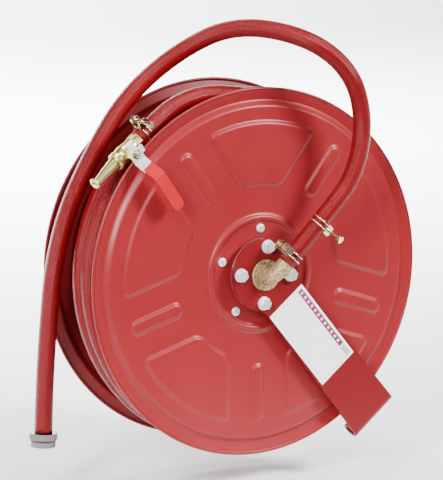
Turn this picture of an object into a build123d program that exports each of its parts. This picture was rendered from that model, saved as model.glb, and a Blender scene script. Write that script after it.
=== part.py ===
"""Swinging fire hose reel: a pressed steel drum on a flanged hollow axle, fed through the axle by a hose.

Modelled with the reel axis along Y and the front rim plane at Y = 0, front towards -Y, Z up.
The finished parts are moved so that the origin is the centre of the wall arm's pivot eye.
"""
from build123d import *
from math import asin, cos, degrees, pi, radians, sin, tan
import os

# ---- drum -----------------------------------------------------------------------------
RIM_R = 270.0            # outer radius of both discs
DRUM_W = 157.0           # front rim plane to back rim plane
SHEET = 1.5              # disc thickness
RIM_BEAD = 2.5           # radius of the rolled rim
FACE_Y = -2.3            # raised face of the front disc
FOLD_R, FOLD_Y = RIM_R - 18.4, 4.5
FACE_R = RIM_R - 27.3    # where the raised face ends
BEAD_R0, BEAD_R1 = 76.5, 85.5
PRESS = 3.0              # height of the pressed shapes
SLOT_R0, SLOT_R1, SLOT_HALF = 145.5, 208.1, 13.5
SECTOR_R0, SECTOR_R1 = 125.0, 224.0
SECTOR_TO_SLOT = 45.0    # slot centre line to the next sector's edge
SECTOR_CORNER = 12.0
PATTERN = 5
SECTOR_START = 18.0      # angle of the first sector
HUB_SCREW_R = 66.0
HUB_SCREW_D = 6.0
HUB_SCREW_PAST = 3.0     # how far a hub screw stands out behind the hub's disc
HUB_HEAD_R, HUB_HEAD_H = 6.6, 3.6
CORE_R = 146.0
CORE_T = 1.5

# ---- axle and bearings ------------------------------------------------------------------
AXLE_R = 20.0
AXLE_BORE = 10.0
AXLE_PAST_CLIP = 3.0
RUN_GAP = 0.05           # running clearance on the axle
BUSH_T = 3.95
BARREL_WALL = 7.0
HUB_DISC_R = 75.0
HUB_DISC_T = 3.0
GALLERY_Y0, GALLERY_Y1 = 56.0, 94.0
SEAL_W = 4.0
WASHER_GAP = 0.05
CLIP_T = 1.6
CLIP_DEPTH = 1.5
OUTLET_R = 9.5

# ---- wall arm ---------------------------------------------------------------------------
ARM_FRONT_Y = -20.5
ARM_T = 4.0
ARM_ANGLE = -49.6        # direction of the arm seen from the front
ARM_W0, ARM_W1 = 71.0, 81.0     # the strap is wider at the pivot eye
ARM_HEAD_R = 54.0
ARM_NECK_FILLET = 25.0
EYE_DIST = RIM_R + 23.0  # reel axis to pivot eye
EYE_BORE_R = 8.0
EYE_R = EYE_BORE_R + ARM_T
BOLT_PCD = 82.9
BOLT_D = 10.0
BOLT_HEAD = 6.4
BOLT_AF = 16.0
BOLT_START = -3.1
BOLT_HOLE_GAP = 0.5
WASHER_T = 1.6
WASHER_R = 10.0
AXLE_FLANGE_T = 6.0
LABEL_L0, LABEL_L1, LABEL_W = 53.0, 196.0, 69.5
LABEL_T = 0.5

# ---- inlet elbow ------------------------------------------------------------------------
BOSS_R = 23.0
BOSS_GAP = 0.25
BOSS_PROUD = 3.0
GASKET_T = 1.0
ELBOW_R = 12.0
ELBOW_BEND = 22.0
SPIGOT_R = 14.0

# ---- hose -------------------------------------------------------------------------------
HOSE_R = 13.0
HOSE_BORE = 9.5
BARB_L = 28.0
FEED_ROUTE = [(17, -48, 20.4), (80.2, -63.8, 96.2), (119, -67, 146), (134.7, -64.5, 222.6),
              (104.5, -72.4, 297.4), (39.2, -54.4, 346.3), (-38.3, 15.1, 360.3), (-94.6, 82.2, 316.6),
              (-171, 97, 251), (-227, 97, 165), (-265, 97, 86), (-284, 97, 8), (-291, 97, -75),
              (-296, 97, -160), (-297, 97, -226)]
TAIL_Y = 25.0
TAIL_START = [(26.4, TAIL_Y, 251.6), (-30, TAIL_Y, 257.5), (-80, TAIL_Y + 2, 261.5),
              (-123, TAIL_Y + 7, 247.5)]
TAIL_RUN = 40.0          # straight run of hose behind the nozzle
RUN_SHARE = 0.45         # share of the shorter run that a corner's arc takes
TURN_PITCH = 23.5        # radial step from one layer to the next
SOFT_GAP = 0.3
LEAVE_ANGLE = 84.0       # where the last turn leaves the winding
LEAVE_SWEEP = 60.0       # angle over which it has room to do so

# ---- hose clamps ------------------------------------------------------------------------
WIRE_R = 1.1
WIRE_STEP = 7.6
WIRE_GAP = 0.35
CLAMP_SCREW_R = 2.4
CLAMP_HEAD_R, CLAMP_HEAD_H = 5.4, 3.5
CLAMP_NUT_R, CLAMP_NUT_H = 5.8, 4.0
LUG_SPREAD = 6.5         # the clamp's middle to the middle of a lug
LUG_T = 2.4
LUG_W = 15.0
LUG_REACH = 24.0         # hose centre line to the clamp's screw
LUG_PAST = 5.0           # how far a lug goes on past the screw

# ---- nozzle and valve ---------------------------------------------------------------------
VALVE_AT = (-212.5, 20.0, 180.8)
NOZZLE_ANGLE = 215.8     # direction of the flow seen from the front
NOZZLE_TILT = 12.0       # how far it turns out towards the front
BODY_R = 13.4            # at the ball chamber
NECK_R = 11.4
BODY_S0, BODY_S1 = -22.0, 11.0
TAIL_S = -33.0
TAIL_HEX = 10.8
BALL_R = 9.5
BALL_BORE = 6.0
BALL_GAP = 0.2
SEAT_R = 9.0
SEAT_X0, SEAT_X1 = 7.42, 10.4
STEM_R = 3.2
STEM_GAP = 0.05
STEM_BOSS_R = 6.8
BOSS_TOP = 18.0          # all heights are measured from the ball's centre, towards the front
GLAND_TOP = 25.0
GLAND_HEX = 7.2
TONGUE_L, TONGUE_T, TONGUE_H = 5.5, 2.4, 3.0
LEVER_Z = 28.0
LEVER_T = 2.5
LEVER_W = 20.0
LEVER_BACK = 19.0        # stem to the end of the plate's rear stop
STOP_W = 10.0
STOP_SIDE = 16.0         # stem to the end of the plate's side stop
STOP_DROP = 4.0
LEVER_RISE = 19.0
LEVER_RISE_AT = 12.0
LEVER_RISE_RUN = 26.0
LEVER_L = 98.0
PLATE_L = 25.0
BLADE_W = 11.0
GRIP_FROM = 21.0
GRIP_T = 2.3
GRIP_W = 19.5
GRIP_CORNER = 7.0
NUT_WASHER_R, NUT_WASHER_T = 7.0, 1.0
NUT_HEX, NUT_H = 4.8, 3.4
STEM_TOP = 36.0
UNION_R, UNION_L = 13.2, 7.5
CONE_S1 = 66.0
CONE_R0, CONE_R1 = 9.8, 4.8
TIP_BEAD_R = 8.2
TIP_L = 5.0
JET_R = 3.2

# ---- end coupling ---------------------------------------------------------------------------
COLLAR_R = 20.5
COLLAR_H = 10.0
COUPLING_RING_R = 18.0
COUPLING_RING_H = 8.0
SEAL_H = 2.5

eye_dir = Vector(cos(radians(ARM_ANGLE)), 0, sin(radians(ARM_ANGLE)))
eye_centre = eye_dir * EYE_DIST + Vector(0, ARM_FRONT_Y + EYE_R, 0)
arm_back_y = ARM_FRONT_Y + ARM_T
axle_flange_back = arm_back_y + AXLE_FLANGE_T
bush_r = AXLE_R + RUN_GAP
barrel_in = bush_r + BUSH_T
barrel_out = barrel_in + BARREL_WALL
face_back = FACE_Y + SHEET
back_face_in = DRUM_W - face_back
nose_y = axle_flange_back + 2 + WASHER_GAP
tail_y = DRUM_W + 5
rear_washer_y = tail_y + WASHER_GAP
clip_y = rear_washer_y + 1.5
barb_r = HOSE_BORE
flow_level = Vector(cos(radians(NOZZLE_ANGLE)), 0, sin(radians(NOZZLE_ANGLE)))
front_dir = Vector(0, -1, 0)
flow_dir = flow_level * cos(radians(NOZZLE_TILT)) + front_dir * sin(radians(NOZZLE_TILT))
stem_dir = front_dir * cos(radians(NOZZLE_TILT)) - flow_level * sin(radians(NOZZLE_TILT))
hose_end = Vector(*VALVE_AT) + flow_dir * TAIL_S
TAIL_ROUTE = TAIL_START + [tuple(hose_end - flow_dir * TAIL_RUN), tuple(hose_end)]


# ---- helpers ----------------------------------------------------------------------------
def along_y(radius, y0, y1, bore=0.0):
    """A disc or tube about the reel axis."""
    solid = Cylinder(radius, y1 - y0)
    if bore:
        solid -= Cylinder(bore, y1 - y0)
    return Pos(0, (y0 + y1) / 2, 0) * Rot(90, 0, 0) * solid


def turned_y(profile):
    """A profile of (radius, y) points turned about the reel axis."""
    return revolve(make_face(Polyline(*profile, close=True)), Axis.Y)


def turned_x(profile):
    """A profile of (x, radius) points turned about the local X axis."""
    return revolve(make_face(Polyline(*profile, close=True)), Axis.X)


def at_angle(radius, angle, y=0.0):
    return Pos(radius * cos(radians(angle)), y, radius * sin(radians(angle)))


def ring_x(x0, x1, outer, inner):
    """A ring about the local X axis."""
    return turned_x([(x0, inner), (x0, outer), (x1, outer), (x1, inner)])


def frame_along(start, direction, across=(0, 1, 0)):
    """A location whose X axis points along direction."""
    x_axis = Vector(direction).normalized()
    z_axis = x_axis.cross(Vector(across)).normalized()
    return Plane(origin=start, x_dir=x_axis, z_dir=z_axis).location


def pipe(route, radius, name=""):
    """A round tube's solid along straight runs and tangent arcs."""
    points = [Vector(*p) for p in route]
    arcs = []
    for before, here, after in zip(points, points[1:], points[2:]):
        turn = (here - before).get_angle(after - here)
        arcs.append(RUN_SHARE * min((here - before).length, (after - here).length) / tan(radians(turn / 2)))
    path = FilletPolyline(*points, radius=arcs)
    profile = Plane(origin=path @ 0, z_dir=path % 0) * Circle(radius)
    solid = sweep(profile, path)
    print(name, "length", round(path.length, 1), "radii", [round(a) for a in arcs],
          "volume ratio", round(solid.volume / (pi * radius ** 2 * path.length), 4))
    return solid


def bore_end(solid, start, direction, radius, depth):
    """Open a hose end so that it fits over a barb."""
    opening = Pos(depth / 2, 0, 0) * Rot(0, 90, 0) * Cylinder(radius, depth)
    return solid - frame_along(start, direction) * opening


# ---- drum pieces --------------------------------------------------------------------------
def slot_face():
    length = SLOT_R1 - SLOT_R0
    slot = Rectangle(length, 2 * SLOT_HALF)
    for end in (-length / 2, length / 2):
        slot += Pos(end, 0) * Circle(SLOT_HALF)
    return Pos((SLOT_R0 + SLOT_R1) / 2, 0) * slot


def sector_face():
    """A pad between two rings whose sides run parallel to the neighbouring slots."""
    half = 180 / PATTERN

    def corner(radius, side):
        angle = radians(side * (half - degrees(asin(SECTOR_TO_SLOT / radius))))
        return (radius * cos(angle), radius * sin(angle))
    edges = [ThreePointArc(corner(SECTOR_R1, -1), (SECTOR_R1, 0), corner(SECTOR_R1, 1)),
             Line(corner(SECTOR_R1, 1), corner(SECTOR_R0, 1)),
             ThreePointArc(corner(SECTOR_R0, 1), (SECTOR_R0, 0), corner(SECTOR_R0, -1)),
             Line(corner(SECTOR_R0, -1), corner(SECTOR_R1, -1))]
    face = make_face(edges)
    return fillet(face.vertices(), SECTOR_CORNER)


def pressed(face, y, angle):
    """A tapered pad raised from the plane at y towards the front."""
    pad = extrude(face, PRESS, taper=45)
    return Rot(0, -angle, 0) * Pos(0, y, 0) * Rot(90, 0, 0) * pad


def front_disc():
    hole = barrel_out + 0.2
    bead_mid = (BEAD_R0 + BEAD_R1) / 2
    line = [(hole, FACE_Y), (BEAD_R0, FACE_Y), (BEAD_R0 + 2, FACE_Y - 2.5), (bead_mid, FACE_Y - PRESS),
            (BEAD_R1 - 2, FACE_Y - 2.5), (BEAD_R1, FACE_Y), (FACE_R, FACE_Y), (FOLD_R, FOLD_Y),
            (RIM_R - RIM_BEAD, RIM_BEAD - 0.5)]
    back = [(r, y + SHEET) for r, y in reversed(line)]
    disc = turned_y(line + back)
    disc += Rot(90, 0, 0) * Torus(RIM_R - RIM_BEAD, RIM_BEAD) .moved(Pos(0, 0, -RIM_BEAD))
    step = 360 / PATTERN
    for index in range(PATTERN):
        angle = SECTOR_START + index * step
        for face, turn in ((sector_face(), angle), (slot_face(), angle + step / 2)):
            disc += pressed(face, FACE_Y, turn)
            disc -= pressed(face, FACE_Y + SHEET, turn)
        disc -= at_angle(HUB_SCREW_R, angle) * Rot(90, 0, 0) * Cylinder(HUB_SCREW_D / 2, 20)
    return disc


def hub_screws():
    """Round head screws that hold a disc to the hub's disc."""
    screws = []
    grip = SHEET + HUB_DISC_T + HUB_SCREW_PAST
    for index in range(PATTERN):
        head = Pos(0, 0, HUB_HEAD_H / 2) * Cylinder(HUB_HEAD_R, HUB_HEAD_H)
        head = fillet(head.edges().group_by(Axis.Z)[-1], 0.75 * HUB_HEAD_H)
        screw = head + Pos(0, 0, -grip / 2) * Cylinder(HUB_SCREW_D / 2, grip)
        place = at_angle(HUB_SCREW_R, SECTOR_START + index * 360 / PATTERN, FACE_Y)
        screws.append(place * Rot(90, 0, 0) * screw)
    return screws


def mirrored(shape):
    return mirror(shape, about=Plane(origin=(0, DRUM_W / 2, 0), z_dir=(0, 1, 0)))


def hub_barrel():
    barrel = along_y(barrel_out, nose_y, tail_y, barrel_in)
    front = along_y(HUB_DISC_R, face_back, face_back + HUB_DISC_T, barrel_in)
    rear = along_y(HUB_DISC_R, back_face_in - HUB_DISC_T, back_face_in, barrel_in)
    barrel += front + rear
    gallery_y = (GALLERY_Y0 + GALLERY_Y1) / 2
    barrel -= Pos(barrel_out, gallery_y, 0) * Rot(0, 90, 0) * Cylinder(OUTLET_R, 2 * BARREL_WALL + 4)
    for index in range(PATTERN):
        hole = Rot(90, 0, 0) * Cylinder(HUB_SCREW_D / 2, DRUM_W + 20)
        barrel -= at_angle(HUB_SCREW_R, SECTOR_START + index * 360 / PATTERN, DRUM_W / 2) * hole
    return barrel


OUTLET_TURN_X = CORE_R - CORE_T - HOSE_R - 21.5
OUTLET_END_Z = 30.0
OUTLET_BEND = 24.0
INNER_HOSE_L = 30.0


def hub_outlet():
    """Bent pipe from the water gallery to the inner end of the wound hose."""
    y = (GALLERY_Y0 + GALLERY_Y1) / 2
    path = FilletPolyline((barrel_in + 1, y, 0), (OUTLET_TURN_X, y, 0), (OUTLET_TURN_X, y, OUTLET_END_Z),
                          radius=OUTLET_BEND)
    ring = Circle(OUTLET_R) - Circle(OUTLET_R - 2)
    return sweep(Plane(origin=path @ 0, z_dir=path % 0) * ring, path)


def inner_hose():
    """Start of the delivery hose, inside the drum core."""
    y = (GALLERY_Y0 + GALLERY_Y1) / 2
    return Pos(OUTLET_TURN_X, y, OUTLET_END_Z + INNER_HOSE_L / 2) * Cylinder(HOSE_R, INNER_HOSE_L)


def drum_core():
    core = along_y(CORE_R, face_back, back_face_in, CORE_R - CORE_T)
    y = (GALLERY_Y0 + GALLERY_Y1) / 2
    core -= Pos(OUTLET_TURN_X - 5, y, OUTLET_END_Z + INNER_HOSE_L + 40) * Box(80, 2 * HOSE_R + 6, 60)
    return core


def hose_winding():
    """Closed outer shape of the wound hose: higher at the front, with room where the last turn leaves."""
    inner = CORE_R + SOFT_GAP
    top = CORE_R + 5 * TURN_PITCH + 1
    second = top - TURN_PITCH + 1
    third = second - TURN_PITCH
    front = face_back + 1
    rim_front = FOLD_Y + SHEET + 1.5
    back = DRUM_W - front
    coil = turned_y([(inner, front), (FACE_R - 4, front), (FOLD_R, rim_front), (top, rim_front), (top, 88),
                     (second, 88), (second, 112), (third, 112), (third, back), (inner, back)])
    room_r = CORE_R + 4 * TURN_PITCH - 0.5
    y0, y1 = TAIL_Y - HOSE_R - 2, TAIL_Y + HOSE_R + 8
    window = turned_y([(room_r, y0), (RIM_R + 20, y0), (RIM_R + 20, y1), (room_r, y1)])
    leave = Rot(0, -LEAVE_ANGLE, 0)
    block = leave * Pos(300, 0, 300) * Box(600, 600, 600)
    block &= Rot(0, -LEAVE_ANGLE - LEAVE_SWEEP, 0) * Pos(300, 0, -300) * Box(600, 600, 600)
    return coil - (window & block)


# ---- static pieces --------------------------------------------------------------------------
def arm_frame(shape):
    """Turn a shape made along +X into the arm's direction."""
    return Rot(0, -ARM_ANGLE, 0) * shape


def wall_arm():
    near, far = ARM_W0 / 2, ARM_W1 / 2
    outline = [(0, -near), (ARM_HEAD_R, -near), (EYE_DIST, -far)]
    outline += [(x, -w) for x, w in reversed(outline)]
    strap = Circle(ARM_HEAD_R) + make_face(Polyline(*outline, close=True))
    notch = [v for v in strap.vertices() if 1 < v.X < ARM_HEAD_R - 1]
    strap = fillet(notch, ARM_NECK_FILLET)
    plate = Pos(0, arm_back_y, 0) * Rot(90, 0, 0) * extrude(strap, ARM_T)
    plate -= Pos(EYE_DIST, ARM_FRONT_Y + EYE_R, 0) * Cylinder(EYE_R - 1, ARM_W1 + 2)
    eye = Cylinder(EYE_R, ARM_W1) - Cylinder(EYE_BORE_R, ARM_W1)
    arm = plate + Pos(EYE_DIST, ARM_FRONT_Y + EYE_R, 0) * eye
    arm = arm_frame(arm)
    arm -= along_y(BOSS_R + BOSS_GAP, ARM_FRONT_Y - 1, arm_back_y + 1)
    for index in range(4):
        hole = Rot(90, 0, 0) * Cylinder(BOLT_D / 2 + BOLT_HOLE_GAP, 3 * ARM_T)
        arm -= at_angle(BOLT_PCD / 2, BOLT_START + 90 * index, ARM_FRONT_Y) * hole
    return arm


def arm_bolts():
    bolts = []
    shank_l = -ARM_FRONT_Y + WASHER_T + axle_flange_back
    for index in range(4):
        head = extrude(RegularPolygon(BOLT_AF / 2, 6, major_radius=False), BOLT_HEAD)
        head = chamfer(head.faces().sort_by(Axis.Z)[-1].edges(), 0.9)
        bolt = head + Pos(0, 0, -shank_l / 2) * Cylinder(BOLT_D / 2, shank_l)
        place = at_angle(BOLT_PCD / 2, BOLT_START + 90 * index, ARM_FRONT_Y - WASHER_T)
        bolts.append(place * Rot(90, 0, 0) * Rot(0, 0, 11 + 17 * index) * bolt)
    return bolts


def arm_washers():
    ring = Cylinder(WASHER_R, WASHER_T) - Cylinder(BOLT_D / 2 + 0.2, WASHER_T)
    return [at_angle(BOLT_PCD / 2, BOLT_START + 90 * index, ARM_FRONT_Y - WASHER_T / 2) * Rot(90, 0, 0) * ring
            for index in range(4)]


def label_plate():
    length = LABEL_L1 - LABEL_L0
    plate = Box(length, LABEL_T, LABEL_W)
    return arm_frame(Pos((LABEL_L0 + LABEL_L1) / 2, ARM_FRONT_Y - LABEL_T / 2, 0) * plate)


def stub_axle():
    axle = along_y(ARM_HEAD_R - 1, arm_back_y, axle_flange_back)
    axle += along_y(AXLE_R, arm_back_y, clip_y + CLIP_T + AXLE_PAST_CLIP)
    axle -= along_y(AXLE_BORE, arm_back_y, GALLERY_Y1)
    axle -= along_y(SPIGOT_R, arm_back_y, arm_back_y + 16)
    gallery_y = (GALLERY_Y0 + GALLERY_Y1) / 2
    for turn in (0, 90):
        axle -= Pos(0, gallery_y, 0) * Rot(0, turn, 0) * Cylinder(6, 3 * AXLE_R)
    axle -= along_y(AXLE_R + 1, clip_y, clip_y + CLIP_T, AXLE_R - CLIP_DEPTH)
    for index in range(4):
        hole = Rot(90, 0, 0) * Cylinder(BOLT_D / 2, 3 * AXLE_FLANGE_T)
        axle -= at_angle(BOLT_PCD / 2, BOLT_START + 90 * index, axle_flange_back) * hole
    return axle


def circlip():
    ring = along_y(AXLE_R + 3, clip_y, clip_y + CLIP_T, AXLE_R - CLIP_DEPTH)
    return ring - Pos(0, clip_y, AXLE_R) * Box(5, 4 * CLIP_T, 12)


elbow_out = Vector(*FEED_ROUTE[0])
elbow_dir = (Vector(*FEED_ROUTE[1]) - elbow_out).normalized()
elbow_corner = elbow_out - elbow_dir * (elbow_out.X / elbow_dir.X)


def inlet_elbow():
    """Cast elbow: a threaded spigot, a round boss in the arm's hole, a bent pipe and a hose barb."""
    base_y = arm_back_y - GASKET_T
    boss = along_y(BOSS_R, ARM_FRONT_Y - BOSS_PROUD, base_y)
    boss = fillet(boss.edges().group_by(Axis.Y)[0], 2)
    path = FilletPolyline((0, base_y, 0), elbow_corner, elbow_out, radius=ELBOW_BEND)
    body = boss + sweep(Plane(origin=path @ 0, z_dir=path % 0) * Circle(ELBOW_R), path)
    body += along_y(SPIGOT_R, base_y - 1, arm_back_y + 14)
    barb = turned_x([(-1, 0), (-1, barb_r), (BARB_L, barb_r), (BARB_L, 0)])
    body += frame_along(elbow_out, elbow_dir) * barb
    flow = FilletPolyline((0, arm_back_y + 15, 0), elbow_corner, elbow_out + elbow_dir * (BARB_L + 2),
                          radius=ELBOW_BEND)
    return body - sweep(Plane(origin=flow @ 0, z_dir=flow % 0) * Circle(HOSE_BORE - 2), flow)


def hose_clamp(centre, direction, side_angle, screw_l):
    """Two wires round the hose with two lugs on them, drawn together by a screw whose head is in front."""
    axis = Vector(direction).normalized()
    level = axis.cross(front_dir).normalized()
    front = level.cross(axis)
    side = level * cos(radians(side_angle)) + front * sin(radians(side_angle))
    head = -1 if cos(radians(side_angle)) > 0 else 1
    ring_r = HOSE_R + WIRE_R + WIRE_GAP
    lug_in, lug_out = ring_r - 2, LUG_REACH + LUG_PAST
    wire = Torus(ring_r, WIRE_R)
    wires = Pos(0, 0, -WIRE_STEP / 2) * wire + Pos(0, 0, WIRE_STEP / 2) * wire
    for place in (-LUG_SPREAD, LUG_SPREAD):
        lug = Box(lug_out - lug_in, LUG_T, LUG_W)
        lug = fillet(lug.edges().filter_by(Axis.Y).sort_by(Axis.X)[-2:], 5)
        wires += Pos((lug_in + lug_out) / 2, place, 0) * lug
    wires -= Pos(LUG_REACH, 0, 0) * Rot(90, 0, 0) * Cylinder(CLAMP_SCREW_R + 0.1, 4 * LUG_SPREAD)
    nut_at = LUG_SPREAD + LUG_T / 2 + CLAMP_NUT_H / 2
    screw = Pos(0, 0, screw_l / 2 - nut_at) * Cylinder(CLAMP_SCREW_R, screw_l)
    screw += Pos(0, 0, screw_l - nut_at + CLAMP_HEAD_H / 2) * Cylinder(CLAMP_HEAD_R, CLAMP_HEAD_H)
    screw += Pos(0, 0, -nut_at) * Cylinder(CLAMP_NUT_R, CLAMP_NUT_H)
    screw = Rot(-90, 0, 0) * screw
    if head < 0:
        screw = mirror(screw, about=Plane.XZ)
    frame = Plane(origin=centre, x_dir=side, z_dir=axis).location
    return frame * wires, frame * Pos(LUG_REACH, 0, 0) * screw


CLAMPS = {"lower_clamp": (FEED_ROUTE, 15, 174, 30), "upper_clamp": (FEED_ROUTE, 76, -28, 38),
          "nozzle_clamp": (TAIL_ROUTE[::-1], 13.5, 160, 30)}


def on_route(route, run, distance):
    """A point on one run of a route and the run's direction."""
    a, b = Vector(*route[run]), Vector(*route[run + 1])
    direction = (b - a).normalized()
    return a + direction * distance, direction


# ---- nozzle and valve pieces ------------------------------------------------------------------
valve = Plane(origin=VALVE_AT, x_dir=flow_dir, z_dir=stem_dir).location


def valve_body():
    """Cast body with a ball chamber and a stem boss."""
    chamber = BALL_R + BALL_GAP
    outer = turned_x([(BODY_S0, 0), (BODY_S0, NECK_R - 1), (BODY_S0 + 1, NECK_R), (BODY_S0 + 9, NECK_R),
                      (-7, BODY_R - 0.8), (0, BODY_R), (6, BODY_R - 0.8), (BODY_S1 - 2, NECK_R),
                      (BODY_S1, NECK_R), (BODY_S1, 0)])
    body = outer + Pos(0, 0, BOSS_TOP / 2) * Cylinder(STEM_BOSS_R, BOSS_TOP)
    body -= Pos((BODY_S0 + BODY_S1) / 2, 0, 0) * Rot(0, 90, 0) * Cylinder(SEAT_R, BODY_S1 - BODY_S0)
    body -= Rot(0, 90, 0) * Cylinder(chamber, chamber)
    body -= Pos(0, 0, BOSS_TOP / 2 + 2) * Cylinder(STEM_R + STEM_GAP, BOSS_TOP + 4)
    return valve * body


def valve_tail():
    """Hose barb with a hexagon, screwed into the body."""
    hexagon = Pos(BODY_S0, 0, 0) * Rot(0, -90, 0) * extrude(
        RegularPolygon(TAIL_HEX, 6, major_radius=False), BODY_S0 - TAIL_S)
    barb = turned_x([(TAIL_S - BARB_L, 0), (TAIL_S - BARB_L, barb_r), (TAIL_S, barb_r), (TAIL_S, 0)])
    thread = turned_x([(BODY_S0, 0), (BODY_S0, SEAT_R), (-SEAT_X1, SEAT_R), (-SEAT_X1, 0)])
    tail = hexagon + barb + thread
    bore_l = BARB_L - TAIL_S + 2
    tail -= Pos(-bore_l / 2, 0, 0) * Rot(0, 90, 0) * Cylinder(HOSE_BORE - 2, bore_l)
    return valve * tail


def ball_seats():
    return [valve * ring_x(side * SEAT_X0, side * SEAT_X1, SEAT_R, BALL_BORE) for side in (-1, 1)]


def ball():
    """Bored ball, closed at rest: its bore lies across the flow, along the lever."""
    solid = Sphere(BALL_R) - Rot(90, 0, 0) * Cylinder(BALL_BORE, 3 * BALL_R)
    solid -= Pos(0, 0, BALL_R) * Box(2 * BALL_R, TONGUE_T + 0.2, 2 * TONGUE_H)
    return valve * solid


def valve_stem():
    tongue = Pos(0, 0, BALL_R - TONGUE_H / 2) * Box(TONGUE_L, TONGUE_T, TONGUE_H)
    shaft = Pos(0, 0, (BALL_R + STEM_TOP) / 2) * Cylinder(STEM_R, STEM_TOP - BALL_R)
    return valve * (shaft + tongue)


def gland_nut():
    nut = extrude(RegularPolygon(GLAND_HEX, 6, major_radius=False), GLAND_TOP - BOSS_TOP)
    nut -= Cylinder(STEM_R + STEM_GAP, 4 * GLAND_TOP)
    return valve * Pos(0, 0, BOSS_TOP) * nut


def lever_height(x):
    """Height of the lever's underside at x along it: flat, a slope, then flat."""
    return LEVER_Z + LEVER_RISE * min(max((x - LEVER_RISE_AT) / LEVER_RISE_RUN, 0), 1)


def lever_side(width, thick, start, end, drop=0.0):
    """A strip that follows the lever's side view."""
    bends = [x for x in (LEVER_RISE_AT, LEVER_RISE_AT + LEVER_RISE_RUN) if start < x < end]
    line = [(x, lever_height(x) - drop) for x in [start, *bends, end]]
    outline = line + [(x, z + thick) for x, z in reversed(line)]
    return extrude(Plane.XZ * make_face(Polyline(*outline, close=True)), width / 2, both=True)


def lever_place(shape):
    """From a lever made along +X to its closed position, across the flow."""
    return valve * Rot(0, 0, 90) * shape


def lever_blade():
    """Plate round the stem with two bent stops, and a narrower blade inside the grip."""
    plate = lever_side(LEVER_W, LEVER_T, 0, PLATE_L)
    plate += Pos(0, 0, LEVER_Z + LEVER_T / 2) * Cylinder(LEVER_W / 2, LEVER_T)
    for turn, reach in ((180, LEVER_BACK), (90, STOP_SIDE)):
        arm = Pos(reach / 2, 0, LEVER_Z + LEVER_T / 2) * Box(reach, STOP_W, LEVER_T)
        lip = Pos(reach - LEVER_T / 2, 0, LEVER_Z - STOP_DROP / 2) * Box(LEVER_T, STOP_W, STOP_DROP)
        plate += Rot(0, 0, turn) * (arm + lip)
    return plate + lever_side(BLADE_W, LEVER_T, PLATE_L - 1, LEVER_L - GRIP_T)


def lever():
    return lever_place(lever_blade() - Pos(0, 0, LEVER_Z) * Cylinder(STEM_R, 3 * LEVER_T))


def lever_grip():
    outer = lever_side(GRIP_W, LEVER_T + 2 * GRIP_T, GRIP_FROM, LEVER_L, GRIP_T)
    outer = fillet(outer.edges().filter_by(Axis.Z).sort_by(Axis.X)[-2:], GRIP_CORNER)
    return lever_place(outer - lever_blade())


def lever_nut():
    washer = Cylinder(NUT_WASHER_R, NUT_WASHER_T, align=(Align.CENTER, Align.CENTER, Align.MIN))
    nut = extrude(RegularPolygon(NUT_HEX, 6, major_radius=False), NUT_H)
    nut = chamfer(nut.faces().sort_by(Axis.Z)[-1].edges(), 0.6)
    nut = washer + Pos(0, 0, NUT_WASHER_T) * nut
    return valve * Pos(0, 0, LEVER_Z + LEVER_T) * (nut - Cylinder(STEM_R, 4 * NUT_H))


def union_ring():
    end = BODY_S1 + UNION_L
    return valve * turned_x([(BODY_S1, CONE_R0), (BODY_S1, UNION_R), (end - 1, UNION_R), (end, UNION_R - 1),
                             (end, CONE_R0)])


def nozzle_cone():
    """Tapered jet with a rolled lip, opened from the valve to the tip."""
    lip = CONE_S1 - TIP_L
    taper = BODY_S1 + UNION_L + 1
    cone = turned_x([(SEAT_X1, 0), (SEAT_X1, SEAT_R), (BODY_S1, SEAT_R), (BODY_S1, CONE_R0), (taper, CONE_R0),
                     (lip, CONE_R1), (lip + 1, TIP_BEAD_R - 0.6), (lip + 2, TIP_BEAD_R),
                     (CONE_S1 - 1, TIP_BEAD_R), (CONE_S1, TIP_BEAD_R - 1), (CONE_S1, 0)])
    bore = turned_x([(SEAT_X1 - 1, 0), (SEAT_X1 - 1, BALL_BORE), (taper, BALL_BORE), (lip, JET_R),
                     (CONE_S1 - 3, JET_R), (CONE_S1 + 1, JET_R + 1.6), (CONE_S1 + 1, 0)])
    return valve * (cone - bore)


# ---- end coupling -------------------------------------------------------------------------------
end_point = Vector(*FEED_ROUTE[-1])
end_dir = (end_point - Vector(*FEED_ROUTE[-2])).normalized()
coupling = frame_along(end_point, end_dir)


def coupling_pieces():
    """Barbed tail, collar, seal and threaded ring at the lower end of the feed hose."""
    tail = ring_x(-BARB_L, COLLAR_H + SEAL_H + COUPLING_RING_H - 2, barb_r, HOSE_BORE - 2)
    collar = ring_x(0, COLLAR_H, COLLAR_R, barb_r)
    collar = chamfer(collar.edges().filter_by(GeomType.CIRCLE).sort_by(Axis.X)[-2:], 0.8)
    seal = ring_x(COLLAR_H, COLLAR_H + SEAL_H, COLLAR_R - 2, barb_r)
    ring = ring_x(COLLAR_H + SEAL_H, COLLAR_H + SEAL_H + COUPLING_RING_H, COUPLING_RING_R, barb_r)
    for side in (-1, 1):
        ring -= Pos(COLLAR_H + SEAL_H + COUPLING_RING_H, 0, side * COUPLING_RING_R) * Box(5, 5, 5)
    return {"coupling_tail": coupling * tail, "coupling_collar": coupling * collar,
            "coupling_seal": coupling * seal, "coupling_ring": coupling * ring}


# ---- assembly -----------------------------------------------------------------------------------
def feed_hose():
    hose = pipe(FEED_ROUTE, HOSE_R, "feed hose")
    hose = bore_end(hose, elbow_out, elbow_dir, barb_r, BARB_L)
    return bore_end(hose, end_point, end_dir * -1, barb_r, BARB_L)


def tail_hose():
    hose = pipe(TAIL_ROUTE, HOSE_R, "tail hose")
    return bore_end(hose, TAIL_ROUTE[-1], flow_dir * -1, barb_r, BARB_L)


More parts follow.
